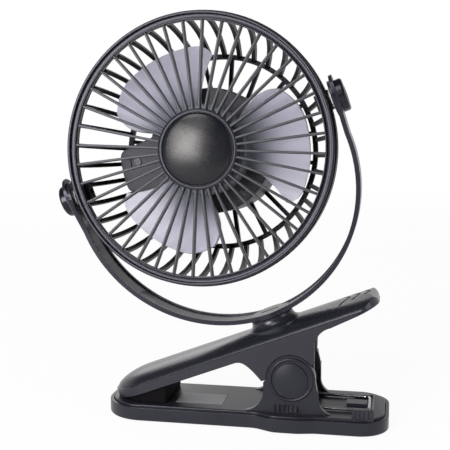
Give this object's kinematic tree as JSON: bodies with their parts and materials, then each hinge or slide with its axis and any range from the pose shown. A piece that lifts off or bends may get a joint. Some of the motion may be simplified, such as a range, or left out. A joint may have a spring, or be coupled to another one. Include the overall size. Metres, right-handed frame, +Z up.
{
  "type": "clip fan",
  "caption": "Rechargeable fan with a round radial grille in a C-shaped yoke, carried by a sprung clip that opens when its handle is pressed.",
  "frame": {"origin": "on the sole's lower face, under the axis of the clip's hinge", "axes": "+Z up, X along the clip with the jaws at -X and the handle at +X, the fan's face towards -Y"},
  "size_m": [0.1671, 0.085, 0.2006],
  "materials": {
    "dark_plastic": "satin",
    "blade_plastic": "smooth",
    "rubber": "matt",
    "steel": "plated",
    "spring_steel": "bright drawn",
    "label_film": "matt",
    "washer_plastic": "smooth",
    "lens_plastic": "clear",
    "board": "lacquered",
    "cell_sleeve": "shrunk film",
    "bronze": "sintered",
    "magnet_iron": "dull"
  },
  "bodies": {
    "base": {"base_sole": "rubber", "base_tray": "dark_plastic", "base_cover": "dark_plastic", "base_screws": "steel", "label_plate": "label_film", "hinge_axle": "steel", "axle_cap_front": "dark_plastic", "axle_cap_back": "dark_plastic", "spring_sleeve": "dark_plastic", "clip_spring": "spring_steel"},
    "arm": {"upper_arm": "dark_plastic", "jaw_pad": "rubber"},
    "yoke": {"yoke": "dark_plastic", "swivel_washer": "washer_plastic", "swivel_screw": "steel", "pivot_cap_left": "dark_plastic", "pivot_cap_right": "dark_plastic"},
    "head": {"pivot_washers": "washer_plastic", "pivot_screws": "steel", "front_grille": "dark_plastic", "hub_cap": "dark_plastic", "rear_grille": "dark_plastic", "motor_cover": "dark_plastic", "housing_screws": "steel", "tongue_screw": "steel", "screw_plug": "dark_plastic", "control_plate": "dark_plastic", "indicator_lenses": "lens_plastic", "circuit_board": "board", "charging_socket": "steel", "battery_cell": "cell_sleeve", "motor_can": "steel", "motor_end_cap": "washer_plastic", "motor_bushings": "bronze", "motor_magnets": "magnet_iron"},
    "impeller": {"armature": "magnet_iron", "motor_shaft": "steel", "impeller": "blade_plastic"},
    "button": {"speed_button": "dark_plastic"}
  },
  "joints": [
    {"name": "clip_hinge", "type": "hinge", "parent": "base", "child": "arm", "pos_m": [0, 0, 0.0246], "axis": [0, 1, 0], "range_deg": [0, 28], "stiffness_Nm_per_rad": 0.5, "springref_deg": -80.21, "deforming": ["clip_spring"]},
    {"name": "yoke_swivel", "type": "hinge", "parent": "arm", "child": "yoke", "pos_m": [-0.01167, 0, 0.05166], "axis": [-0.3584, 0, 0.9336], "continuous": true},
    {"name": "head_tilt", "type": "hinge", "parent": "yoke", "child": "head", "pos_m": [-0.04748, 0, 0.13322], "axis": [0.9336, 0, 0.3584], "continuous": true},
    {"name": "impeller_spin", "type": "hinge", "parent": "head", "child": "impeller", "pos_m": [-0.04748, 0, 0.13322], "axis": [0.025, 0.9976, -0.0651], "continuous": true},
    {"name": "speed_button_press", "type": "slide", "parent": "head", "child": "button", "axis": [-0.025, -0.9976, 0.0651], "range_m": [0, 0.0008], "stiffness_N_per_m": 1500, "springref_m": -0.0002}
  ]
}
